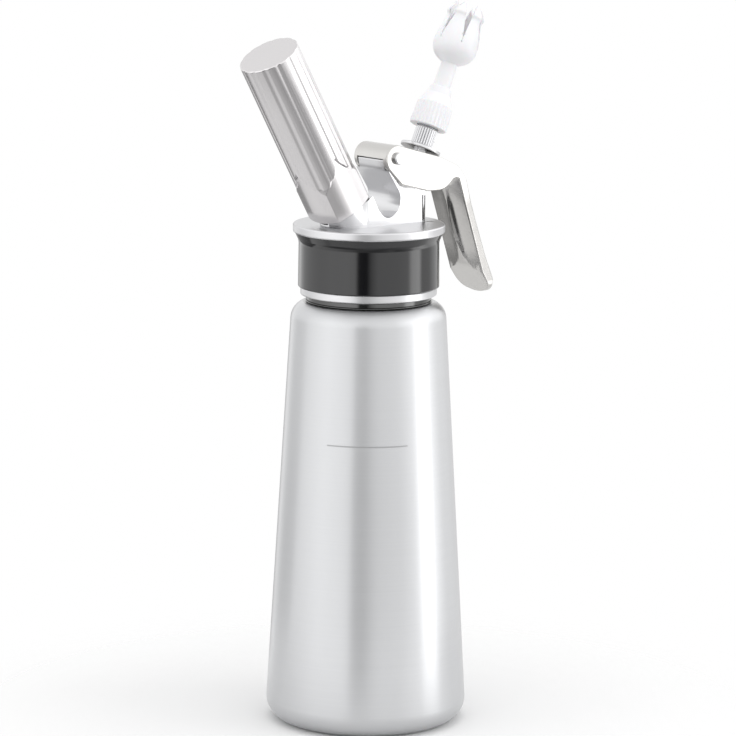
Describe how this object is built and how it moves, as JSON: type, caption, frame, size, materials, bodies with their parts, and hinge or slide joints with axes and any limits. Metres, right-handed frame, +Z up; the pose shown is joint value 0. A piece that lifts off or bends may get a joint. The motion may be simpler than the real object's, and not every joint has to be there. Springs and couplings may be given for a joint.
{
  "type": "whipped cream dispenser",
  "caption": "Handheld cream whipper: tapered steel bottle, screw-on head with squeeze lever, charger holder and tulip nozzle.",
  "frame": {"origin": "centre of the bottle's base, on the plane that it stands on", "axes": "+Z up the bottle; the nozzle and lever lean towards +X, the charger holder towards -X; the lever's pin is along Y"},
  "size_m": [0.1257, 0.0824, 0.2952],
  "materials": {
    "brushed_steel_body": "brushed round the bottle",
    "polished_casting": "polished",
    "polished_lever": "polished",
    "satin_aluminium": "satin",
    "black_collar": "gloss",
    "pin_steel": "polished",
    "valve_steel": "turned",
    "spring_steel": "drawn wire",
    "charger_steel": "satin",
    "white_plastic": "gloss",
    "grey_silicone": "matte"
  },
  "bodies": {
    "bottle": {"bottle": "brushed_steel_body"},
    "gasket": {"head_gasket": "grey_silicone"},
    "head": {"head_body": "polished_casting", "grip_collar": "black_collar", "trim_ring": "polished_casting", "lever_pin": "pin_steel", "pin_clip": "pin_steel", "valve_bush": "valve_steel", "stem_seal_ring": "grey_silicone", "charger_seal": "grey_silicone", "piercer_body": "valve_steel", "piercing_needle": "valve_steel", "check_valve_sleeve": "grey_silicone", "valve_spring": "spring_steel"},
    "lever": {"lever": "polished_lever"},
    "valve": {"valve_stem": "valve_steel", "valve_seal": "grey_silicone", "seal_retainer": "valve_steel", "stem_disc": "valve_steel", "knurled_connector": "valve_steel"},
    "nozzle_ring": {"nozzle_seal": "grey_silicone"},
    "nozzle": {"nozzle_adaptor": "white_plastic", "tulip_tip": "white_plastic"},
    "charger": {"gas_charger": "charger_steel"},
    "holder": {"charger_holder": "satin_aluminium", "charger_cushion": "grey_silicone"}
  },
  "joints": [
    {"name": "head_lift", "type": "slide", "parent": "bottle", "child": "gasket", "axis": [0, 0, 1], "range_m": [0, 0.012]},
    {"name": "head_turn", "type": "hinge", "parent": "gasket", "child": "head", "pos_m": [0, 0, 0.19], "axis": [0, 0, 1], "range_deg": [0, 1080]},
    {"name": "lever_squeeze", "type": "hinge", "parent": "head", "child": "lever", "pos_m": [0.00636, 0, 0.23366], "axis": [0, 1, 0], "range_deg": [0, 5], "stiffness_Nm_per_rad": 6, "springref_deg": -0.57},
    {"name": "valve_press", "type": "slide", "parent": "head", "child": "valve", "axis": [-0.4147, 0, -0.91], "range_m": [0, 0.00163], "deforming": ["valve_spring"]},
    {"name": "nozzle_lift", "type": "slide", "parent": "valve", "child": "nozzle_ring", "axis": [0.4147, 0, 0.91], "range_m": [0, 0.0075]},
    {"name": "nozzle_turn", "type": "hinge", "parent": "nozzle_ring", "child": "nozzle", "pos_m": [0.03326, 0, 0.24765], "axis": [0.4147, 0, 0.91], "range_deg": [0, 1800]},
    {"name": "charger_lift", "type": "slide", "parent": "head", "child": "charger", "axis": [-0.5045, 0, 0.8634], "range_m": [0, 0.01]},
    {"name": "holder_turn", "type": "hinge", "parent": "charger", "child": "holder", "pos_m": [-0.03111, 0, 0.2401], "axis": [-0.5045, 0, 0.8634], "range_deg": [0, 1800]}
  ],
  "couplings": [
    {"joint": "head_lift", "follows": "head_turn", "m_per_rad": 0.00063662},
    {"joint": "lever_squeeze", "follows": "valve_press", "rad_per_m": 53.541},
    {"joint": "nozzle_turn", "follows": "nozzle_lift", "rad_per_m": 4188.8},
    {"joint": "holder_turn", "follows": "charger_lift", "rad_per_m": 3141.6}
  ]
}
